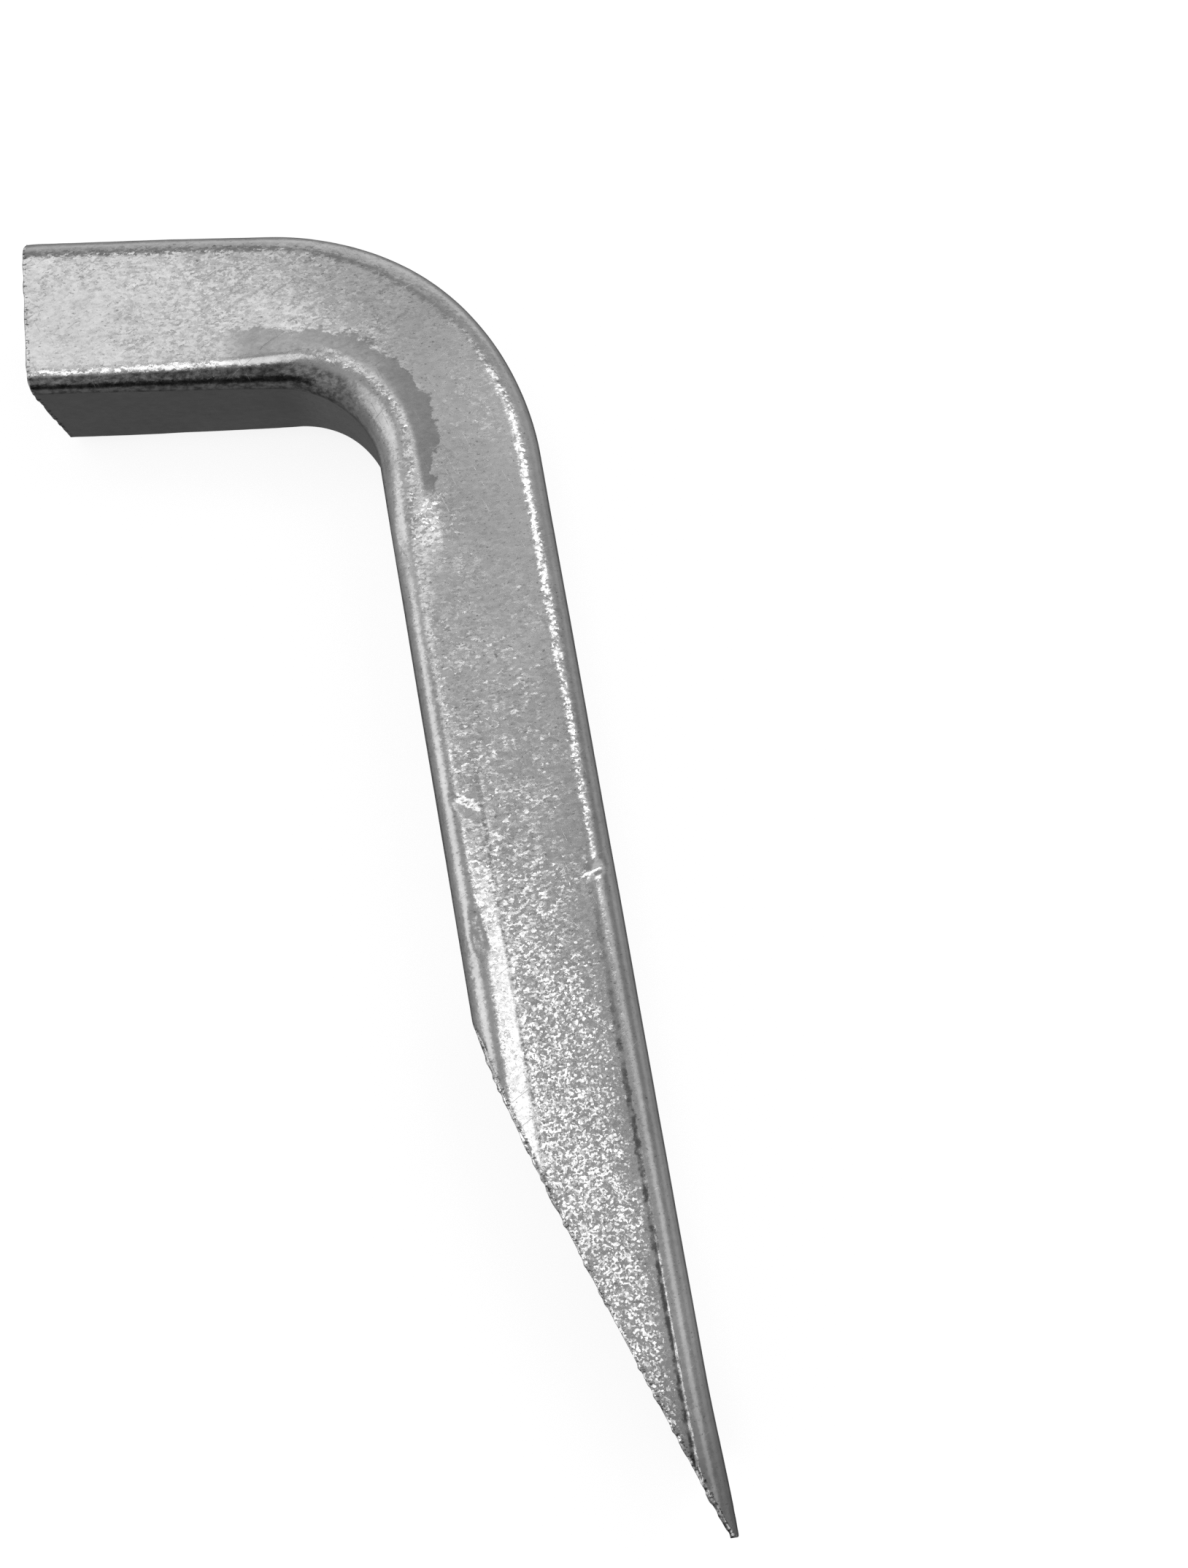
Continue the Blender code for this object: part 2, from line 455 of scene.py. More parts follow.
def close_mesh(rings):
    """Vertices and face arrays of the rings, the sawn end and the tip."""
    numbers = np.arange(len(rings) * RING).reshape(len(rings), RING)
    centre = rings[0].mean(0)
    even = np.linspace(1, 0, END_RINGS + 1)[1:-1]
    scales = np.concatenate(([1 - CLOSE_RING / (BAR / 2)], even))
    end_rings = centre + (rings[0] - centre) * scales[:, None, None]
    end_numbers = numbers.size + np.arange(len(scales) * RING).reshape(-1, RING)
    vertices = np.concatenate((rings.reshape(-1, 3), end_rings.reshape(-1, 3), centre[None]))
    end_loops = np.concatenate((numbers[:1], end_numbers))
    last = end_loops[-1]
    fan = np.stack([last, np.full(RING, len(vertices) - 1), np.roll(last, -1)], 1)
    end_quads = loop_quads(end_loops)[:, [0, 3, 2, 1]]
    return vertices, [loop_quads(numbers), end_quads, fan, zip_tip(vertices, numbers[-1])]


def vertex_normals(vertices, face_arrays):
    normals = np.zeros_like(vertices)
    for faces in face_arrays:
        corners = [vertices[column] for column in faces.T]
        normal = np.cross(corners[2] - corners[0], corners[-1] - corners[1])
        for column in faces.T:
            np.add.at(normals, column, normal)
    return normals / np.maximum(np.linalg.norm(normals, axis=1, keepdims=True), 1e-12)


class Bar:
    """The lever's mesh, and for each vertex where it lies on the bar."""

    def __init__(self):
        stations = build_stations()
        rings, along = build_rings(stations)
        self.start, self.faces = close_mesh(rings)      # before any detail
        self.moved = self.start.copy()                  # after the changes of shape
        self.normal = vertex_normals(self.start, self.faces)
        upright = np.abs(self.normal[:, 2])

        part = np.array([station.part for station in stations])
        self.run_of_ring = np.array([station.run for station in stations])
        self.part = self.widen(part, fill=-1)
        self.progress = self.widen([station.progress for station in stations])
        self.run = self.widen(self.run_of_ring, fill=-50.0)
        self.along = self.widen(along)                  # along the long leg, 0 elsewhere
        self.rise = (self.start[:, 2] - BAR / 2) / (BAR / 2)    # -1 at the bottom, 1 on top
        self.past = self.along - heel(self.start[:, 2], self.along)     # beyond the bevel's heel

        # distance from the inner face, in mm and as a share of the width
        inner = rings[:, [N_HALF]]
        span = (rings[:, [0]] - inner)[..., :2]
        width = np.linalg.norm(span, axis=2)
        is_long = (part == LONG)[:, None]
        across_mm = ((rings - inner)[..., :2] * span).sum(2) / width
        across_mm = np.where(is_long, rings[..., 0] + BAR / 2, across_mm)
        self.across_mm = self.widen(across_mm)
        self.across = self.widen(across_mm / np.where(is_long, BAR, width))
        self.inner_r = inner_radius(self.run)

        # 1 on bare metal, and its opposite
        place = self.widen(np.tile(np.arange(RING), (len(rings), 1)), fill=-1)
        on_face = (place >= CREASE) & (place <= RING - CREASE)
        within_face = (place > CREASE + 1) & (place < RING - CREASE - 1)
        self.ground = (on_face & (self.past > 0.0)).astype(float)
        self.ground_core = (within_face & (self.past > 0.3)).astype(float)
        self.sawn = (np.arange(len(self.start)) >= along.size).astype(float)
        self.skin = 1.0 - np.maximum(self.ground, self.sawn)

        # which way the surface faces
        level = np.hypot(self.normal[:, 0], self.normal[:, 1])
        self.flat_side = smooth(0.90, 0.985, upright)
        self.side_and_round = smooth(0.15, 0.80, upright)
        self.corner = np.clip(1 - self.flat_side - smooth(0.93, 0.99, level), 0, 1)

        # distances to the edges of bare metal; `creased` is 1 where the bevel cuts the crease
        past = self.past[:along.size].reshape(along.shape)
        self.crease_distance, self.creased = [], []
        for index in (CREASE, RING - CREASE):
            distance = np.linalg.norm(rings - rings[:, [index]], axis=2)
            self.crease_distance.append(self.widen(distance, fill=1e3))
            self.creased.append(self.widen(smooth(-0.2, 0.8, past[:, index])))
        self.end_distance = np.where(self.part == SHORT, self.progress * SHORT_SPAN, 1e3)

    def widen(self, values, fill=0.0):
        """Values per ring, or per vertex of the rings, for all vertices; fill on the sawn end."""
        values = np.asarray(values, float)
        values = values.ravel() if values.ndim == 2 else np.repeat(values, RING)
        return np.concatenate((values, np.full(len(self.start) - values.size, fill)))

    def near_edges(self, width):
        """1 on the upper and lower crease of the bevel, each falling off over width."""
        return [bell(distance, at=0, width=width) * creased
                for distance, creased in zip(self.crease_distance, self.creased)]


# ---------------------------------------------------------------------------------------------
# Changes of shape
# ---------------------------------------------------------------------------------------------
def swell_bend(bar):
    """The side faces swell towards the inside of the bend and draw in at the outside."""
    crest = np.interp(bar.run_of_ring, *CREST.T)
    blur = np.array([1, 2, 3, 4, 5, 4, 3, 2, 1]) / 25.0
    crest = np.convolve(np.pad(crest, 4, mode="edge"), blur, mode="valid")
    crest = bar.widen(crest) * np.where(bar.rise > 0, 1.0, 0.5)
    peak = 4.2                                  # the swelling is highest this far across
    beyond = np.clip((bar.across_mm - peak) / 11.8, 0, 1)
    falloff = np.where(bar.across_mm > peak, 0.5 + 0.5 * np.cos(math.pi * beyond),
                       0.45 + 0.55 * bell(bar.across_mm, at=peak, width=2.4))
    outer_share = np.clip(bar.across * 1.6 - 0.6, 0, 1) ** 2
    draw = 0.24 * bell(bar.run, at=4.0, width=8.0) * outer_share
    off_middle = np.sign(bar.rise) * smooth(0.10, 0.80, np.abs(bar.rise))
    bar.moved[:, 2] += off_middle * (crest * falloff - draw)

    # the outer side stands out a little more than a true arc
    fuller = 0.34 * np.sin(math.pi * np.clip(bar.progress * 1.1, 0, 1)) ** 2
    fuller *= (bar.part == BEND) * smooth(0.80, 1.0, bar.across)
    bar.moved[:, :2] += bar.normal[:, :2] * fuller[:, None]


def shape_tip(bar):
    """The outer side kicks outward a little at the tip, and the underside spreads before it."""
    kick = 0.36 * smooth(106.0, 121.0, bar.along)
    bar.moved[:, 0] += kick * smooth(-0.5, 0.5, bar.normal[:, 0])
    spread = 0.26 * smooth(98.0, 112.0, bar.along) * (1 - smooth(115.0, 118.5, bar.along))
    bar.moved[:, 2] -= spread * smooth(-0.2, -0.9, bar.normal[:, 2])


def cut_facet(bar):
    """A second, smaller ground facet on the lower edge beside the heel of the bevel."""
    x, z = bar.moved[:, 0], bar.moved[:, 2]
    from_edge = x + BAR / 2 - np.maximum(bevel_depth(bar.along, z), 0.0) + z
    bite = np.clip((np.interp(bar.along, *FACET.T) - from_edge) / 2, 0, 1.2)
    bite *= (bar.along > FACET[0, 0]) & (bar.along < FACET[-1, 0]) & (bar.rise < 0)
    bar.moved[:, 0] += bite
    bar.moved[:, 2] += bite
    bar.facet = smooth(0.0, 0.06, bite)


# ---------------------------------------------------------------------------------------------
# Surface detail: each function gives a height in mm along the normals
# ---------------------------------------------------------------------------------------------
def skin_texture(bar):
    waves = (ripple(bar.start, cell=(9.0, 13.0, 9.0), height=0.030, seed=1)
             + ripple(bar.start, cell=(3.1, 4.4, 3.1), height=0.014, seed=2))
    grain = (ripple(bar.start, cell=(1.5, 1.0, 1.2), height=0.0045, seed=3)
             + ripple(bar.start, cell=(0.75, 0.5, 0.6), height=0.0030, seed=4))
    return bar.skin * (waves + grain)


def rolling_lines(bar):
    """Faint lines along both long edges of the side faces, and along the inner face."""
    along, across = bar.along, bar.across_mm
    inner_at = LINE_IN + wobble(along, length=9, height=0.12, seed=21)
    outer_at = LINE_OUT + wobble(along, length=7, height=0.12, seed=22)
    inner = 0.040 * bell(across, at=inner_at, width=0.20) * smooth(40.0, 52.0, along)
    outer = 0.045 * bell(across, at=outer_at, width=0.20) * smooth(25.0, 60.0, along)
    uneven = 0.6 + ripple(bar.start, cell=2.5, height=0.4, seed=23)
    face_at = LINE_FACE_Z + wobble(along, length=11, height=0.15, seed=26)
    face = 0.035 * bell(bar.moved[:, 2], at=face_at, width=0.22)
    face *= smooth(0.6, 0.1, across) * smooth(16.0, 22.0, along)
    return -bar.skin * (bar.flat_side * (inner + outer) * uneven + face)


def rolled_edges(bar):
    """How the side faces fall away towards the rounded corners."""
    along, across = bar.along, bar.across_mm
    # both margins lean, the inner one evenly, the outer one ever more steeply
    lean_in = 0.088 * np.clip(LINE_IN - across, 0.0, 2.6) * smooth(50.0, 66.0, along)
    lean_out = np.clip((across - 11.2) / 2.4, 0, 1) * smooth(20.0, 60.0, along)
    leaning = bar.side_and_round * (lean_in + 0.07 * lean_out ** 1.5)
    # a long shallow channel beside the outer rounding, towards the tip
    channel = 0.035 * smooth(58.0, 92.0, along) * bell(across, at=13.5, width=0.62)
    channel *= np.abs(bar.normal[:, 2]) > 0.3
    # a lumpy lip where the outer rounding begins
    lumps = (wobble(along + bar.run, length=1.1, height=0.022, seed=24)
             + wobble(along + bar.run, length=2.6, height=0.016, seed=25))
    lip = bell(across, at=13.95, width=0.45) * (np.abs(bar.rise) > 0.8)
    lip *= (1 - 0.75 * smooth(52.0, 68.0, along)) * lumps
    return bar.skin * (lip - leaning - channel)


def bend_edges(bar):
    """Where the swelling runs out on top, and the narrow roll-over beside the inner rounding."""
    window = bell(bar.moved[:, 1], at=-23.9, width=3.1) * (bar.part == LONG)
    window *= smooth(0.30, 0.80, bar.normal[:, 2])
    lean = 0.125 * np.clip(4.9 - bar.across_mm, 0.0, 2.1) * window
    roll = np.clip(bar.inner_r + 0.85 - bar.across_mm, 0.0, 0.95)
    roll *= smooth(3.0, 9.0, bar.run) * (1 - smooth(24.0, 34.0, bar.run))
    return -lean - 0.10 * roll * bar.side_and_round


def pit_layer(points, cell_size, seed):
    """1 at the bottom of small round pits, about one in every other cell; 0 outside them."""
    home = np.floor(points / cell_size).astype(np.int64)
    deepest = np.zeros(len(points))
    for offset in itertools.product((-1, 0, 1), repeat=3):
        cell = home + np.array(offset)

        def pick(shift):
            return hash_cells(*cell.T, seed + shift)

        centre = (cell + np.stack([pick(0), pick(50), pick(90)], 1)) * cell_size
        present = pick(130) > 0.55
        radius = 0.35 + 0.45 * pick(170)
        distance = np.linalg.norm(points - centre, axis=1) / radius
        deepest = np.maximum(deepest, present * np.clip(1 - distance ** 2, 0, 1))
    return deepest


def skin_pits(bar):
    large = 0.030 * pit_layer(bar.start, cell_size=5.2, seed=31)
    small = 0.018 * pit_layer(bar.start, cell_size=3.4, seed=32)
    return -bar.skin * (large + small)


def corner_texture(bar):
    """The inner corners are rough and hammered, the outer ones nearly smooth."""
    hammer = (ripple(bar.start, cell=0.7, height=0.010, seed=41)
              + ripple(bar.start, cell=2.1, height=0.014, seed=42))
    hammer *= (bar.across < 0.3) * np.where(bar.run < 9.0, 1.0, 0.35)
    gentle = (bar.across > 0.7) * ripple(bar.start, cell=1.0, height=0.010, seed=43)
    return bar.corner * bar.skin * (hammer + gentle)


def grinding_marks(bar):
    """Coarse curved marks on the bevel, and lengthwise ones on the second facet."""
    x, z = bar.moved[:, 0], bar.moved[:, 2]
    line = grind_line(z, bar.past)
    breaks = 0.65 + 0.35 * noise(flat_points(line / 0.7, bar.past / 7.0), seed=51)
    marks = 0.030 * groove(line, pitch=0.62, seed=52) * breaks
    chatter = 0.016 * noise(flat_points(line / 5.0, bar.past / 3.2), seed=55)
    lengthwise = groove(z - 0.6 * (x + BAR / 2) + 0.10 * bar.along, pitch=0.42, seed=81)
    return bar.ground_core * (marks + chatter) + 0.035 * bar.facet * lengthwise


def saw_marks(bar):
    across, along = saw_axes(bar.start[:, :2] @ S_OUT, bar.start[:, 2])
    uneven = 0.75 + 0.25 * noise(flat_points(across / 1.3, along / 5.0), seed=62)
    marks = 0.040 * groove(across, pitch=0.50, seed=61) * uneven
    waves = 0.03 * noise(flat_points(across / 4.5, along / 9.0), seed=63)
    return bar.sawn * (marks + waves)


def burrs(bar):
    """Raggedness along the bevel's two side edges and round the sawn end."""
    upper, _ = bar.near_edges(0.18)
    _, lower = bar.near_edges(0.16)
    rag_upper = (0.5 + wobble(bar.along, length=1.3, height=0.25, seed=71)
                 + wobble(bar.along, length=0.55, height=0.65, seed=74))
    rag_lower = (0.5 + wobble(bar.along, length=1.3, height=0.25, seed=72)
                 + wobble(bar.along, length=0.60, height=0.65, seed=75))
    end = bell(bar.end_distance, at=0, width=0.15)
    end *= wobble(bar.start @ np.array([0.7, 1.3, 1.0]), length=0.9, height=0.07, seed=73)
    return (0.21 * upper * (rag_upper - 0.42)
            + 0.14 * lower * (1 - bar.facet) * (rag_lower - 0.45) + end)


def stroke(bar, start, end, width, depth, side):
    """A gash with a raised rim on the top or the underside."""
    start, line = np.array(start), np.subtract(end, start)
    t = np.clip((bar.start[:, :2] - start) @ line / (line @ line), 0, 1)
    distance = np.linalg.norm(bar.start[:, :2] - (start + t[:, None] * line), axis=1)
    taper = np.sin(math.pi * np.clip(0.08 + 0.84 * t, 0, 1)) ** 0.6
    body = bell(distance, at=0, width=width) * taper
    rim = bell(distance, at=1.6 * width, width=0.6 * width) * (t > 0) * (t < 1)
    return (bar.normal[:, 2] * side > 0.35) * depth * (0.35 * rim - body)


def dent(bar, centre, radius, depth):
    distance = np.linalg.norm(bar.start - np.array(centre), axis=1)
    return -depth * np.clip(1 - distance / radius, 0, 1)


def single_marks(bar):
    """Gashes, dents and nicks."""
    height = sum(stroke(bar, *row) for row in STROKES)
    height += sum(dent(bar, *row) for row in DENTS)
    for outward, z, radius, depth in END_NICKS:
        x, y = S_DIR * SHORT_LEG + S_OUT * outward
        height += dent(bar, (x, y, z), radius, depth)
    return height


DETAILS = (skin_texture, rolling_lines, rolled_edges, bend_edges, skin_pits, corner_texture,
           grinding_marks, saw_marks, burrs, single_marks)


def material_attributes(bar, points):
    """The values the material reads, and others kept on the mesh, by name."""
    upright = np.abs(bar.normal[:, 2])
    bead = bell(bar.across_mm, at=bar.inner_r + 0.25, width=0.38) * smooth(-1.0, 4.0, bar.run)
    bead *= (1 - smooth(24.0, 34.0, bar.run)) * smooth(0.80, 0.93, upright)
    # painted highlight: a bright patch on top where the swelling runs out, standing in for a lamp's
    # glint there
    glint_patch = bell(bar.across_mm, at=3.9, width=1.0, power=4)
    glint_patch *= bell(points[:, 1], at=-23.6, width=2.1, power=4)
    glint_patch *= (bar.part == LONG) & (bar.rise > 0.9)
    edge = np.maximum.reduce([*bar.near_edges(0.35), bell(bar.end_distance, at=0, width=0.3)])
    return dict(
        bead=bead, glint_patch=glint_patch, ground=bar.ground, sawn=bar.sawn, facet=bar.facet,
        run=bar.run, rise=bar.rise, amm=bar.across_mm, past=bar.past, across=bar.across,
        along=bar.along, corner=bar.corner, bend=bell(bar.run, at=8.0, width=9.0), edge=edge)


def to_frame(points):
    """Millimetres from the crossing to the frame, in metres."""
    return (points + np.array([0.0, OUT_START, 0.0])) * MM


def make_lever():
    bar = Bar()
    swell_bend(bar)
    shape_tip(bar)
    cut_facet(bar)
    height = sum(detail(bar) for detail in DETAILS)
    points = bar.moved + bar.normal * height[:, None]

    mesh = bpy.data.meshes.new("lever_surface")
    faces = [tuple(face) for array in bar.faces for face in array.tolist()]
    mesh.from_pydata(to_frame(points).tolist(), [], faces)
    mesh.update()
    mesh.shade_smooth()
    for name, values in material_attributes(bar, points).items():
        attribute = mesh.attributes.new(name, "FLOAT", "POINT")
        attribute.data.foreach_set("value", values.astype(np.float32))
    lever = bpy.data.objects.new("lever", mesh)
    bpy.context.scene.collection.objects.link(lever)
    return lever


# ---------------------------------------------------------------------------------------------
# Shader arithmetic: operators on these values add nodes
# ---------------------------------------------------------------------------------------------
class Scalar:
    """A number in a shader."""

    def __init__(self, graph, socket):
        self.graph, self.socket = graph, socket

    def __add__(self, other):
        return self.graph.math("ADD", self, other)

    def __radd__(self, other):
        return self.graph.math("ADD", other, self)

    def __sub__(self, other):
        return self.graph.math("SUBTRACT", self, other)

    def __rsub__(self, other):
        return self.graph.math("SUBTRACT", other, self)

    def __mul__(self, other):
        return self.graph.math("MULTIPLY", self, other)

    def __truediv__(self, other):
        return self.graph.math("DIVIDE", self, other)

    def max(self, other):
        return self.graph.math("MAXIMUM", self, other)

    def min(self, other):
        return self.graph.math("MINIMUM", self, other)

    def abs(self):
        return self.graph.math("ABSOLUTE", self)

    def ramp(self, low, high, start, end, kind="SMOOTHSTEP"):
        """start where this value is low, end where it is high."""
        node = self.graph.add("ShaderNodeMapRange", {
            "Value": self, "From Min": low, "From Max": high, "To Min": start, "To Max": end,
        }, interpolation_type=kind, clamp=True)
        return Scalar(self.graph, node.outputs["Result"])

    def linear(self, low, high, start, end):
        return self.ramp(low, high, start, end, kind="LINEAR")

    def rises(self, low, high):
        """0 below low, 1 above high."""
        return self.ramp(low, high, 0.0, 1.0)

    def falls(self, low, high):
        """1 below low, 0 above high."""
        return self.ramp(low, high, 1.0, 0.0)

    def mix(self, at_0, at_1):
        """at_0 where this value is 0, at_1 where it is 1."""
        node = self.graph.add("ShaderNodeMix", {0: self, 2: at_0, 3: at_1}, data_type="FLOAT")
        return Scalar(self.graph, node.outputs[0])

    def mix_vectors(self, at_0, at_1):
        node = self.graph.add("ShaderNodeMix", {0: self, 4: at_0, 5: at_1}, data_type="VECTOR")
        return Triple(self.graph, node.outputs[1])

    def factor(self, to):
        """A factor that goes from 1 to `to` as this mask goes from 0 to 1."""
        return self.mix(1.0, to)


class Triple:
    """A vector or colour in a shader."""

    def __init__(self, graph, socket):
        self.graph, self.socket = graph, socket

    def vector_math(self, operation, *others):
        inputs = dict(enumerate((self, *others)))
        node = self.graph.add("ShaderNodeVectorMath", inputs, operation=operation)
        return Triple(self.graph, node.outputs[0])

    def __add__(self, other):
        return self.vector_math("ADD", other)

    def __sub__(self, other):
        return self.vector_math("SUBTRACT", other)

    def __mul__(self, other):
        return self.vector_math("MULTIPLY", other)

    def normalized(self):
        return self.vector_math("NORMALIZE")

    def scaled(self, scale):
        node = self.graph.add("ShaderNodeVectorMath", {0: self, "Scale": scale}, operation="SCALE")
        return Triple(self.graph, node.outputs[0])

    def dot(self, other):
        node = self.graph.add("ShaderNodeVectorMath", {0: self, 1: other}, operation="DOT_PRODUCT")
        return Scalar(self.graph, node.outputs["Value"])

    def parts(self):
        node = self.graph.add("ShaderNodeSeparateXYZ", {0: self})
        return [Scalar(self.graph, socket) for socket in node.outputs]


class Graph:
    """A node tree being built."""

    def __init__(self, tree):
        self.tree = tree

    def add(self, kind, inputs=None, **properties):
        node = self.tree.nodes.new(kind)
        node.location = (30 * len(self.tree.nodes), 0)
        for name, value in properties.items():
            setattr(node, name, value)
        for key, value in (inputs or {}).items():
            self.put(node.inputs[key], value)
        return node

    def put(self, socket, value):
        """Links a shader value to the socket, or sets a plain one."""
        value = getattr(value, "socket", value)
        if isinstance(value, bpy.types.NodeSocket):
            self.tree.links.new(value, socket)
        else:
            socket.default_value = value

    def math(self, operation, *operands, clamp=False):
        node = self.add("ShaderNodeMath", dict(enumerate(operands)),
                        operation=operation, use_clamp=clamp)
        return Scalar(self, node.outputs[0])

    def combine(self, x, y, z):
        return Triple(self, self.add("ShaderNodeCombineXYZ", {0: x, 1: y, 2: z}).outputs[0])

    def coordinates(self, output):
        return Triple(self, self.add("ShaderNodeTexCoord").outputs[output])

    def attribute(self, name):
        return Scalar(self, self.add("ShaderNodeAttribute", attribute_name=name).outputs["Fac"])

    def noise_node(self, point, scale, detail, rough):
        return self.add("ShaderNodeTexNoise", {
            "Vector": point, "Scale": scale, "Detail": detail, "Roughness": rough})

    def noise(self, point, scale=1.0, detail=2.0, rough=0.6):
        return Scalar(self, self.noise_node(point, scale, detail, rough).outputs["Fac"])

    def streaks(self, u, v, density, seed, detail, rough):
        """Noise over (u, v), with its own density in each direction."""
        point = self.combine(u * density[0], v * density[1], seed)
        return self.noise(point, detail=detail, rough=rough)

    def cell_tilt(self, point):
        """A random lean for each cell of a Voronoi pattern."""
        node = self.add("ShaderNodeTexVoronoi", {"Vector": point, "Scale": 1.0})
        return Triple(self, node.outputs["Color"]) - (0.5, 0.5, 0.5)

    def bump(self, height, distance, normal):
        """Distance is in metres."""
        node = self.add("ShaderNodeBump", {
            "Strength": 1.0, "Distance": distance, "Height": height, "Normal": normal})
        return Triple(self, node.outputs[0])


# ---------------------------------------------------------------------------------------------
# Lever material: bright zinc on hammered skin, bare ground steel on the bevel, sawn steel at the end
# ---------------------------------------------------------------------------------------------
class Site:
    """Where on the lever a shaded point lies; lengths in mm, masks in 0..1."""

    def __init__(self, graph):
        self.point = graph.coordinates("Object").scaled(1 / MM)
        self.x, _, self.z = self.point.parts()
        self.normal = Triple(graph, graph.add("ShaderNodeNewGeometry").outputs["Normal"])
        _, _, self.normal_z = self.normal.parts()
        self.across = graph.attribute("amm")
        for name in ("ground", "sawn", "facet", "along", "run", "edge", "past"):
            setattr(self, name, graph.attribute(name))
        self.skin = 1.0 - self.ground.max(self.sawn)
        self.side = self.normal_z.abs().rises(0.86, 0.97)       # the two flat side faces
        self.rounding = self.normal_z.abs().rises(0.05, 0.25) * (1.0 - self.side)
        self.toward_tip = self.along.rises(52.0, 80.0)
        self.frayed = graph.noise(self.point * (1.3, 2.2, 1.6), detail=3.0, rough=0.7)
        self.mid_noise = graph.noise(self.point * (1.1, 1.9, 1.5), detail=3.0, rough=0.55)
        self.dark_strip = self.make_dark_strip(graph)
        inner_face = self.across.falls(0.05, 0.6)
        self.inner_short = inner_face * self.run.falls(0.0, 4.0)
        outer_face = self.across.rises(15.2, 15.9)
        # how far the mottle is suppressed
        self.calm = self.dark_strip.max((self.inner_short * 0.9).max(outer_face * 0.55))

    def make_dark_strip(self, graph):
        """A darker, smoother strip with a frayed edge, beside the inner rounding round the bend."""
        run = self.run
        wave = graph.noise(self.point, scale=0.45, detail=3.0)
        distance = self.across + ((wave - 0.5) * 3.4 + (self.frayed - 0.5) * 2.2)
        middle = run.rises(1.0, 8.0) * run.falls(10.0, 18.0)
        distance -= middle * 1.7                # wider in the middle of the bend
        strip = distance.falls(4.9, 5.2) * run.rises(-6.5, -2.0)
        strip *= self.across.rises(3.7, 4.3).max(run.falls(2.0, 6.0))
        strip *= run.falls(17.0, 20.0)
        return strip * self.side


def flake_lean(graph, site):
    """How far the flakes of the skin lean, by place."""
    across, along, run = site.across, site.along, site.run
    worn = graph.noise(site.point, scale=0.22, detail=3.0).rises(0.40, 0.62)
    lean = worn.mix(0.085, 0.14) + site.toward_tip * 0.10
    lean *= site.calm.factor(to=0.18)
    lean *= site.rounding.factor(to=0.62)
    outer_after_bend = across.rises(6.0, 9.0) * run.rises(2.0, 8.0) * along.falls(22.0, 36.0)
    lean *= outer_after_bend.factor(to=0.72)
    inner_margin = across.falls(4.30, 4.50) * along.rises(58.0, 66.0) * site.side
    lean *= inner_margin.factor(to=0.38)
    outer_margin = across.rises(13.1, 13.6) * along.rises(54.0, 64.0)
    lean *= outer_margin.factor(to=0.30)
    lip = across.rises(13.5, 13.9) * across.falls(14.5, 15.0) * along.falls(50.0, 60.0)
    lean += lip * site.skin * 0.13
    lean += graph.attribute("bead").max(graph.attribute("glint_patch")) * 0.20
    return lean * site.skin


def hairlines(graph, site, direction, cross, length, width, level, seed):
    """Hairline scratches along direction, where the noise exceeds level."""
    along, across = site.point.dot(direction), site.point.dot(cross)
    point = graph.combine(along / length, across / width, site.z * 0.08 + seed)
    return graph.noise(point, detail=1.0, rough=0.4).rises(level, level + 0.05)


def skin_normal(graph, site):
    """Small flakes each leaning their own way, fine bumps, and diagonal hairlines."""
    warp = Triple(graph, graph.noise_node(site.point, 2.6, 2.0, 0.6).outputs["Color"])
    point = site.point + (warp - (0.5, 0.5, 0.5)).scaled(0.55)
    # the flakes get narrower towards the tip
    squeeze = graph.combine(site.x * (site.toward_tip * 2.3), 0.0, 0.0)
    small = graph.cell_tilt(point * (2.5, 5.6, 4.2) + squeeze)
    large = graph.cell_tilt(point * (0.95, 1.5, 1.3))
    lean = flake_lean(graph, site)
    large_lean = lean * site.toward_tip.mix(0.25, 0.10)
    normal = (site.normal + (small.scaled(lean) + large.scaled(large_lean))).normalized()

    fine = graph.noise(site.point * (3.6, 7.0, 5.5), detail=3.0, rough=0.62)
    normal = graph.bump(fine, site.calm.mix(0.0000060, 0.0000030), normal)
    mid_distance = site.calm.mix(site.toward_tip.mix(0.000009, 0.000005), 0.000006)
    normal = graph.bump(site.mid_noise, mid_distance, normal)

    scratches = hairlines(graph, site, direction=(0.88, 0.47, 0.0), cross=(-0.47, 0.88, 0.0),
                          length=5.0, width=0.13, level=0.74, seed=3.0)
    steep = hairlines(graph, site, direction=(0.30, -0.95, 0.1), cross=(0.95, 0.30, 0.0),
                      length=4.0, width=0.12, level=0.755, seed=9.0)
    return graph.bump(scratches.max(steep) * site.skin, -0.000012, normal)


def ground_steel(graph, site):
    """Normal and tone of the bevel, and the tone of the second facet."""
    past = site.past
    waver = (graph.noise(site.point, scale=0.30, rough=0.5) - 0.5) * 0.5
    line = grind_line(site.z, past) + waver
    coarse = graph.streaks(line, past, density=(4.6, 0.20), seed=0.0, detail=4.0, rough=0.72)
    fine = graph.streaks(line, past, density=(10.0, 0.85), seed=4.0, detail=2.0, rough=0.6)
    torn = graph.streaks(line, past, density=(3.0, 1.6), seed=8.0, detail=3.0, rough=0.7)
    height = coarse * 0.6 + (fine * 0.35 + torn * 0.35)
    normal = graph.bump(height, 0.000105, site.normal)

    scratch = graph.streaks(line, past, density=(5.2, 0.16), seed=21.0, detail=2.0, rough=0.5)
    breaks = graph.streaks(line, past, density=(5.2, 1.3), seed=27.0, detail=2.0, rough=0.6)
    bright = scratch.rises(0.52, 0.64) * breaks.rises(0.40, 0.55)
    tone = 0.18 + (bright * 0.72 + torn.rises(0.48, 0.75) * 0.16)
    tone *= past.ramp(8.0, 46.0, start=1.0, end=0.62)       # darker towards the tip
    facet_tone = coarse.linear(0.3, 0.7, start=0.36, end=0.85)
    return normal, site.facet.mix(tone, facet_tone), facet_tone


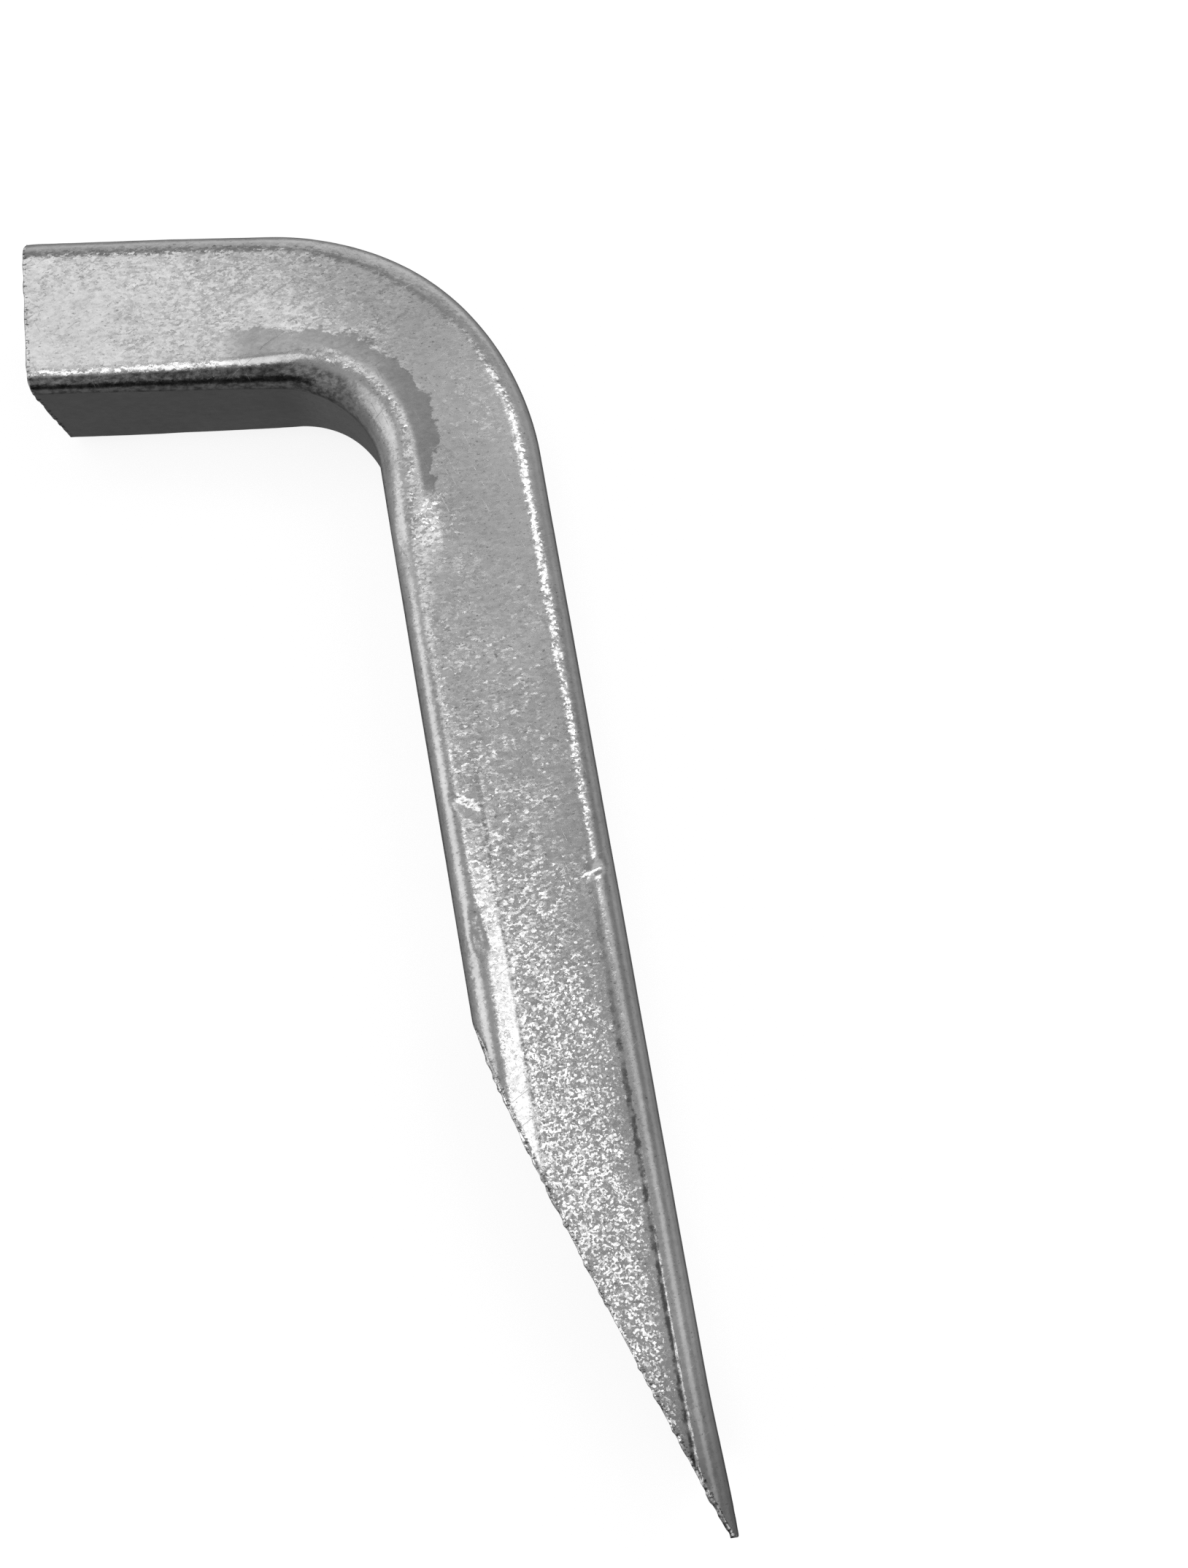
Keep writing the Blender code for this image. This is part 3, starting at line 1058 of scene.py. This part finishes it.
def sawn_steel(graph, site):
    """Normal and tone of the sawn end."""
    outward = site.point.dot((float(S_OUT[0]), float(S_OUT[1]), 0.0))
    across, along = saw_axes(outward, site.z)
    marks = graph.streaks(across, along, density=(5.5, 0.35), seed=0.0, detail=3.0, rough=0.65)
    breaks = graph.streaks(across, along, density=(5.0, 2.4), seed=6.0, detail=3.0, rough=0.7)
    normal = graph.bump(marks * 0.7 + breaks * 0.5, 0.000150, site.normal)
    bright = marks.rises(0.53, 0.62) * breaks.rises(0.40, 0.56)
    dark = marks.falls(0.36, 0.46)
    return normal, (0.62 + bright * 0.33) - dark * 0.22


def rolling_line_mask(graph, site):
    """The dark rolling lines of the side faces."""
    inner = (site.across - LINE_IN).abs().falls(0.10, 0.34)
    ragged = (graph.noise(site.point, scale=1.6, detail=3.0, rough=0.7) - 0.5) * 0.9
    outer = ((site.across - LINE_OUT) + ragged).abs().falls(0.12, 0.42)
    inner *= site.along.ramp(42.0, 54.0, start=0.0, end=0.55)
    lines = graph.math("ADD", inner, outer * site.along.rises(44.0, 88.0), clamp=True)
    lines *= site.normal_z.abs().rises(0.55, 0.85)
    return lines * graph.noise(site.point, scale=0.9).ramp(0.35, 0.6, start=0.35, end=1.0)


def skin_tone(graph, site):
    """Brightness of the plating, with painted shade on the inner rounding and on the short leg's
    inner face.
    """
    point, across, along = site.point, site.across, site.along
    mottle = graph.noise(point * (0.9, 1.6, 1.2), detail=4.0, rough=0.65)
    clouds = graph.noise(point, scale=0.16, detail=3.0, rough=0.55)
    tone = mottle.linear(0.25, 0.75, start=0.64, end=0.80)
    tone *= clouds.linear(0.3, 0.7, start=0.93, end=1.05)
    specks = graph.noise(point * (2.6, 4.6, 3.6), rough=0.5).rises(0.63, 0.74)
    tone *= (specks * site.calm.factor(to=0.15)).factor(to=0.50)
    tone *= rolling_line_mask(graph, site).factor(to=0.26)
    # the inner rounding before and into the bend is darker: partly its rough, dull plating, partly
    # painted shade for the dark it reflects there
    dull_and_shaded = site.rounding * across.falls(1.6, 2.6) * site.run.falls(4.0, 15.0)
    tone *= dull_and_shaded.factor(to=site.frayed.linear(0.38, 0.62, start=0.20, end=0.56))
    # the strip beside the inner rounding round the bend is darker
    tone = site.dark_strip.mix(tone, site.frayed.linear(0.3, 0.7, start=0.36, end=0.48))
    # painted shade: the short leg's inner face, which faces the long leg across the bend, is made
    # darker
    tone *= site.inner_short.factor(to=0.85)
    # the tone falls towards the tip, first on the outer side
    outer_tip_fade = along.linear(102.0, 119.0, start=1.0, end=0.50)
    tip_fade = across.rises(8.0, 11.0).factor(to=outer_tip_fade)
    return tone * tip_fade.min(along.ramp(114.5, 118.5, start=1.0, end=0.52))


def edges_wear_and_glints(graph, site, tone):
    """Painted highlights along the burrs and on a patch on top, the inner face's rolling line, and
    torn dark edges.
    """
    # painted highlight: bright dashes along the bevel's edges and round the sawn edge stand in for
    # the glints of their burrs
    burr_glint = site.edge.rises(0.55, 0.95) * graph.noise(site.point, scale=1.7).rises(0.42, 0.60)
    tone = burr_glint.mix(tone, 0.86)
    # painted highlight: the bright patch on top where the swelling runs out
    tone = graph.attribute("glint_patch").mix(tone, 0.92)
    inner_face = site.across.falls(0.1, 0.5) * site.run.rises(13.0, 18.0) * site.skin
    wander = (graph.noise(site.point, scale=0.35) - 0.5) * 0.7
    above_line = (site.z - LINE_FACE_Z) + wander
    tone *= (inner_face * above_line.abs().falls(0.05, 0.20)).factor(to=0.45)
    tone *= (inner_face * above_line.rises(0.0, 0.1)).factor(to=0.90)
    torn = graph.noise(site.point * (2.2, 4.4, 3.0)).rises(0.53, 0.60)
    tone *= (site.edge.rises(0.08, 0.35) * torn).factor(to=0.25)
    return tone.min(0.9)


def lever_material():
    material = bpy.data.materials.new("zinc_plated_steel_worn")
    material.use_nodes = True
    shader = material.node_tree.nodes["Principled BSDF"]
    graph = Graph(material.node_tree)
    site = Site(graph)
    ground_normal, ground_tone, facet_tone = ground_steel(graph, site)
    sawn_normal, sawn_tone = sawn_steel(graph, site)

    normal = site.ground.mix_vectors(skin_normal(graph, site), ground_normal)
    normal = site.sawn.mix_vectors(normal, sawn_normal).normalized()

    tone = site.ground.mix(skin_tone(graph, site), ground_tone)
    tone = site.sawn.mix(tone, sawn_tone)
    tone = (site.facet * site.skin).mix(tone, facet_tone)
    tone = edges_wear_and_glints(graph, site, tone)

    skin_rough = site.mid_noise.linear(0.3, 0.7, start=0.15, end=0.24)
    rough = site.calm.mix(skin_rough, 0.20)
    rough = site.ground.mix(rough, 0.33)
    rough = site.sawn.mix(rough, 0.36)

    graph.put(shader.inputs["Base Color"], graph.combine(tone, tone, tone))
    graph.put(shader.inputs["Roughness"], rough)
    graph.put(shader.inputs["Metallic"], 1.0)
    graph.put(shader.inputs["Normal"], normal)
    return material


# ---------------------------------------------------------------------------------------------
# Studio: a soft room told by direction, with unit vectors from the lever
# ---------------------------------------------------------------------------------------------
def unit(vector):
    vector = np.array(vector, float)
    return vector / np.linalg.norm(vector)


def lamp_box(direction, centre, long_axis, half_size, softness, strength):
    """A soft-edged rectangle of light; sizes are along and across long_axis."""
    toward = unit(centre)
    axis = np.array(long_axis, float)
    axis = unit(axis - toward * (axis @ toward))
    light = None
    for side, half, soft in zip((axis, np.cross(toward, axis)), half_size, softness):
        band = direction.dot(tuple(side)).abs().falls(half - soft, half + soft)
        light = light * band if light else band
    front = direction.dot(tuple(toward)).rises(0.0, 0.05)
    return light * front * strength


def glow(direction, centre, inner, outer, strength):
    """A round light: full within the inner angle, gone at the outer one, in degrees."""
    edges = (math.cos(math.radians(angle)) for angle in (outer, inner))
    return direction.dot(tuple(unit(centre))).ramp(*edges, start=0.0, end=strength)


def room_walls(x, y, z):
    above = z.rises(-0.04, 0.20)
    # the ceiling: brightest in a band towards +Y, dimmer beyond it and towards +X
    overhead = y.ramp(0.12, 0.30, start=0.345, end=0.50)
    north = y.ramp(0.50, 0.68, start=1.0, end=0.40)
    north += y.ramp(0.78, 0.92, start=0.0, end=0.26)
    east = x.ramp(0.70, 0.99, start=1.0, end=0.62)
    ceiling = above * overhead * (north * east)
    # a narrow dark screen stands on the -Y side, wider and darker at its foot
    foot = x + z.ramp(0.22, 0.34, start=0.30, end=0.0)
    screen = foot.rises(-0.38, -0.27) * x.falls(-0.02, 0.08)
    screen *= y.falls(-0.52, -0.34)
    screen *= z.rises(-0.34, -0.10)
    screen *= z.ramp(0.26, 0.40, start=0.94, end=0.55)
    # below the horizon the room goes on dimly, darkest straight down
    low = z.ramp(-0.82, -0.50, start=0.10, end=0.29) * z.ramp(-0.40, -0.14, start=1.0, end=1.6)
    low *= y.ramp(-0.42, -0.12, start=0.85, end=1.0)
    west_end = x.ramp(-0.98, -0.80, start=0.74, end=1.0)
    low *= west_end * x.ramp(0.80, 0.98, start=1.0, end=0.78)
    below = (1.0 - above) * low
    return (ceiling + below) * (1.0 - screen)


# Wide, faint lights: centre, inner and outer angle in degrees, strength
GLOWS = (
    ((-0.92, 0.03, 0.40), 6, 24, 0.66), ((0.73, -0.15, 0.66), 5, 18, 0.30),
    ((0.70, -0.68, 0.22), 10, 40, 0.22), ((-0.62, -0.68, 0.50), 8, 26, 0.14),
    ((0.45, -0.75, 0.50), 8, 30, 0.14), ((0.30, 0.93, 0.15), 10, 40, 0.20),
)


def make_world():
    world = bpy.data.worlds.new("studio")
    bpy.context.scene.world = world
    world.use_nodes = True
    world.node_tree.nodes.clear()
    graph = Graph(world.node_tree)
    direction = graph.coordinates("Generated").normalized()

    light = room_walls(*direction.parts())
    light += glow(direction, centre=(-0.30, 0.42, 0.86), inner=4.0, outer=15.5, strength=0.57)
    light += lamp_box(direction, centre=(-0.185, -0.12, 0.975), long_axis=(0.0, 1.0, 0.0),
                      half_size=(0.23, 0.088), softness=(0.05, 0.015), strength=1.8)
    light += lamp_box(direction, centre=(0.48, 0.29, 0.83), long_axis=(0.0, 1.0, 0.0),
                      half_size=(0.15, 0.19), softness=(0.07, 0.06), strength=1.9)
    for row in GLOWS:
        light += glow(direction, *row)
    light = light.max(0.0)

    # the camera itself sees plain white
    camera_ray = Scalar(graph, graph.add("ShaderNodeLightPath").outputs["Is Camera Ray"])
    value = camera_ray.mix(light, 1.0)
    color = graph.combine(value, value, value)
    background = graph.add("ShaderNodeBackground", {"Color": color})
    graph.add("ShaderNodeOutputWorld", {"Surface": background.outputs[0]})


def make_floor():
    """A pale sheet that reflections pass by, so the undersides mirror the dark lower room."""
    bpy.ops.mesh.primitive_plane_add(size=6.0, location=(0, 0, -0.0007))
    floor = bpy.context.object
    floor.name = "floor"
    floor.visible_glossy = False
    material = bpy.data.materials.new("floor_paper")
    material.use_nodes = True
    material.node_tree.nodes.clear()
    graph = Graph(material.node_tree)
    diffuse = graph.add("ShaderNodeBsdfDiffuse", {"Color": (0.36, 0.36, 0.36, 1)})
    shine = graph.add("ShaderNodeEmission", {"Color": (1, 1, 1, 1), "Strength": 0.84})
    both = graph.add("ShaderNodeAddShader", {0: diffuse.outputs[0], 1: shine.outputs[0]})
    graph.add("ShaderNodeOutputMaterial", {"Surface": both.outputs[0]})
    floor.data.materials.append(material)


def make_camera():
    """Looks down on the lever, from a little towards -Y."""
    data = bpy.data.cameras.new("camera")
    data.sensor_fit = "AUTO"
    data.sensor_width = 36.0
    data.lens = 39.751425
    data.clip_start, data.clip_end = 0.005, 20.0
    camera = bpy.data.objects.new("camera", data)
    bpy.context.scene.collection.objects.link(camera)
    right = (0.984601, -0.174811, -0.001338)
    up = (0.173306, 0.975063, 0.138628)
    back = (-0.022929, -0.136725, 0.990344)
    placement = Matrix((right, up, back)).transposed().to_4x4()
    placement.translation = Vector(to_frame(np.array([3.589, -73.875, 180.556])))
    camera.matrix_world = placement
    bpy.context.scene.camera = camera


lever = make_lever()
lever.data.materials.append(lever_material())
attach(lever, "root")
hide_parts(NODE)

make_floor()
make_world()
make_camera()
scene = bpy.context.scene
scene.view_settings.view_transform = "Standard"
scene.view_settings.look = "None"
scene.cycles.use_denoising = False
